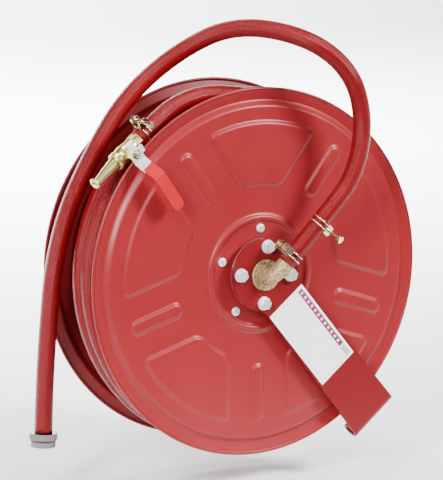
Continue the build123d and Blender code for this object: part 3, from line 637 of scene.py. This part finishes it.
def disc_surface(disc):
    """The disc's face on a grid that is closed round the axis.

    At radius r the grid's lines stand at asin(offset / r) from a slot's centre line, so that they run along the
    walls of the slots and sectors, and share the rest of the pattern evenly. Height is the profile plus press
    height times the larger of two shares: ease((slot half width - distance to the slot's centre line) / wall)
    and ease((distance inside the sector's rounded edge) / wall)."""
    radii, offsets = lines_over(RADIUS_SPANS), lines_over(OFFSET_SPANS)
    half = np.pi / PATTERN
    near = np.arcsin(offsets[None, :] / np.maximum(radii, GUIDE_RADIUS)[:, None])
    share = np.linspace(0, 1, FAR_COLUMNS + 1)[None, 1:]
    quarter = np.concatenate([near, near[:, -1:] + (half - near[:, -1:]) * share], 1)
    period = np.concatenate([-quarter[:, :0:-1], quarter[:, :-1]], 1)
    angle = np.concatenate([period + 2 * half * i for i in range(PATTERN)], 1)
    local = np.concatenate([period] * PATTERN, 1)
    r = np.broadcast_to(radii[:, None], angle.shape)
    x, side = r * np.cos(local), np.abs(r * np.sin(local))
    wall = disc.wall / MM
    slot = np.hypot(x - np.clip(x, disc.slot_inner / MM, disc.slot_outer / MM), side)
    edges = np.stack([r - disc.sector_outer / MM, disc.sector_inner / MM - r,
                      disc.sector_gap / MM - side]) + SECTOR_CORNER
    outside = np.linalg.norm(np.clip(edges, 0.0, None), axis=0) - SECTOR_CORNER
    press = np.maximum(ease((disc.slot_half / MM - slot) / wall), ease(-outside / wall))
    height = disc_profile(r) + disc.press / MM * press
    place = angle + np.radians(SLOT_TURN)
    return np.stack([r * np.cos(place), -height, r * np.sin(place)], -1)


def pressed_disc(disc, name, material, back):
    """A disc's two faces, a sheet's thickness apart, joined by the rolled rim.

    The rim is an arc of the bead's radius, middle + bead (cos a outwards + sin a backwards), as a goes from the
    roll's start to its end. The back disc is the front one mirrored across the drum."""
    face = disc_surface(disc)
    rear = face + np.array([0.0, disc.sheet / MM, 0.0])
    bead = disc.rim_bead / MM
    outwards = face[-1] * np.array([1.0, 0.0, 1.0])
    outwards /= np.linalg.norm(outwards, axis=1)[:, None]
    backwards = np.array([0.0, 1.0, 0.0])
    middle = outwards * (RIM_RADIUS / MM - bead) + np.array([0.0, bead, 0.0])
    swing = np.radians(np.linspace(ROLL_START, ROLL_END, ROLL_ROWS)[:, None, None])
    roll = middle[None] + bead * (np.cos(swing) * outwards[None] + np.sin(swing) * backwards)
    skin = np.concatenate([face, roll, rear[::-1]])
    faces = grid_faces(*skin.shape[:2], wrap_columns=True, wrap_rows=True)[:, ::-1]
    verts = skin.reshape(-1, 3)
    if back:
        verts = verts * np.array([1.0, -1.0, 1.0]) + np.array([0.0, DRUM_WIDTH / MM, 0.0])
        faces = faces[:, ::-1]
    return new_piece(name, at_reel(verts), faces.tolist(), "drum", material)


class HOSEREEL_OT_discs(bpy.types.Operator):
    """Makes the two pressed discs of the drum"""
    bl_idname = "hosereel.discs"
    bl_label = "Pressed discs"

    def execute(self, context):
        disc = context.scene.hosereel_disc
        base = context.scene.hosereel_colours.enamel
        # The back disc gets the enamel at 0.6 of its brightness and gloss: painted shade for the shadowed space
        # between the discs.
        for name, node, back, shade in (("front_disc", "front_flange", False, 1.0),
                                        ("back_disc", "back_flange", True, 0.6)):
            red = enamel(f"{name}_enamel", scaled(base, shade), edge=0.0004, gloss=shade)
            piece = pressed_disc(disc, name, red, back)
            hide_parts(node)
        return {"FINISHED"}


class HOSEREEL_OT_grip(bpy.types.Operator):
    """Finishes the dipped lever grip"""
    bl_idname = "hosereel.grip"
    bl_label = "Lever grip"

    def execute(self, context):
        red = context.scene.hosereel_colours.grip
        assign(soft_plastic("dipped_grip", red, 0.26, 0.34, grain=60.0, coat=0.12), "lever_grip")
        return {"FINISHED"}


def area_light(name, place, target, width, height, power):
    """A rectangular lamp at place that faces target, both in mm from the reel's axis; its sides are in metres."""
    lamp = bpy.data.lights.new(name, "AREA")
    lamp.shape = "RECTANGLE"
    lamp.size, lamp.size_y = width, height
    lamp.energy = power
    place, target = Vector(at_reel(place)), Vector(at_reel(target))
    holder = linked(name, lamp)
    holder.location = place
    holder.rotation_euler = (target - place).to_track_quat("-Z", "Y").to_euler()


class HOSEREEL_OT_stage(bpy.types.Operator):
    """Sets up the floor, the studio light and the camera"""
    bl_idname = "hosereel.stage"
    bl_label = "Stage"

    def execute(self, context):
        self.floor()
        self.light(context.scene)
        self.camera(context.scene)
        return {"FINISHED"}

    def floor(self):
        """A pale sheet: level under the reel, then a quarter circle up to an upright wall behind it."""
        level = CAD_BOX[0][2] - 0.05
        front, rear, bend, top, half_width = -0.45, 7.0, 1.5, 6.0, 7.0
        sweep = np.radians(np.linspace(0, 90, 24))
        depth = np.concatenate([[front], rear + bend * np.sin(sweep), [rear + bend]])
        height = np.concatenate([[level], level + bend * (1 - np.cos(sweep)), [level + top]])
        rows = len(depth)
        skin = np.stack([np.tile([-half_width, half_width], rows), np.repeat(depth, 2), np.repeat(height, 2)], -1)
        f = Finish("studio_floor")
        f.set(Base_Color=f.blend(f.noise(3.0), (0.95, 0.95, 0.95, 1), (0.97, 0.97, 0.97, 1)), Roughness=0.9)
        floor = mesh_object("floor", skin, grid_faces(rows, 2).tolist(), f.material)

    def light(self, scene):
        """A dim white world, bright to the camera alone, with lamps round the reel and one on the back wall."""
        dim, bright = 0.12, 2.4
        world = bpy.data.worlds.new("studio")
        world.use_nodes = True
        nodes, links = world.node_tree.nodes, world.node_tree.links
        sky = nodes["Background"]
        sky.inputs["Color"].default_value = (1.0, 1.0, 1.0, 1.0)
        seen = nodes.new("ShaderNodeLightPath")
        glow = nodes.new("ShaderNodeMath")
        glow.operation = "MULTIPLY_ADD"
        glow.inputs[1].default_value, glow.inputs[2].default_value = bright, dim
        links.new(seen.outputs["Is Camera Ray"], glow.inputs[0])
        links.new(glow.outputs[0], sky.inputs["Strength"])
        scene.world = world
        middle = (-40, 60, 40)
        area_light("key", (-2100, -1500, 1150), middle, 0.5, 1.4, 130)
        area_light("front", (-1500, -3300, 2300), middle, 1.0, 0.9, 60)
        area_light("main", (1900, -2400, 2100), middle, 0.9, 0.9, 290)
        area_light("top", (-300, 100, 2400), middle, 1.2, 0.3, 35)
        area_light("back_wall", (0, 3200, 3200), (0, 6500, 0), 6.0, 1.5, 3000)

    def camera(self, scene):
        """Looks at the drum from the front left, slightly above, with a long lens."""
        azimuth, elevation, roll = np.radians([-30.04, 9.28, 0.93])
        distance, target = 3710.0, np.array([-62.8, 0.0, 52.3])
        back = np.array([np.sin(azimuth) * np.cos(elevation), -np.cos(azimuth) * np.cos(elevation),
                         np.sin(elevation)])
        right = np.array([np.cos(azimuth), np.sin(azimuth), 0.0])
        up = np.cross(back, right)
        tilted_right = right * np.cos(roll) + up * np.sin(roll)
        tilted_up = up * np.cos(roll) - right * np.sin(roll)
        lens = bpy.data.cameras.new("camera")
        lens.lens, lens.sensor_width = 194.25, 36.0
        lens.clip_end = 50.0
        camera = linked("camera", lens)
        turn = Matrix(np.stack([tilted_right, tilted_up, back], 1).tolist()).to_4x4()
        camera.matrix_world = Matrix.Translation(Vector(at_reel(target + back * distance))) @ turn
        scene.camera = camera


class HOSEREEL_PT_panel(bpy.types.Panel):
    """Lists the reel's operators and settings"""
    bl_idname = "HOSEREEL_PT_panel"
    bl_label = "Hose reel"
    bl_space_type = "VIEW_3D"
    bl_region_type = "UI"
    bl_category = "Hose reel"

    def draw(self, context):
        for operator in OPERATORS:
            self.layout.operator(operator.bl_idname)
        for name in SETTINGS:
            group = getattr(context.scene, name)
            for key in group.__annotations__:
                self.layout.prop(group, key)


SETTINGS = {"hosereel_disc": HOSEREEL_PG_disc, "hosereel_hose": HOSEREEL_PG_hose,
            "hosereel_colours": HOSEREEL_PG_colours}
OPERATORS = (HOSEREEL_OT_finishes, HOSEREEL_OT_feed_hose, HOSEREEL_OT_delivery_hose, HOSEREEL_OT_discs,
             HOSEREEL_OT_grip, HOSEREEL_OT_stage)
CLASSES = (*SETTINGS.values(), *OPERATORS, HOSEREEL_PT_panel)


def register():
    for item in CLASSES:
        bpy.utils.register_class(item)
    for name, group in SETTINGS.items():
        setattr(bpy.types.Scene, name, bpy.props.PointerProperty(type=group))


def unregister():
    for name in SETTINGS:
        delattr(bpy.types.Scene, name)
    for item in reversed(CLASSES):
        bpy.utils.unregister_class(item)


def main():
    register()
    for operator in OPERATORS:
        group, name = operator.bl_idname.split(".")
        getattr(getattr(bpy.ops, group), name)()


if __name__ == "__main__":
    main()
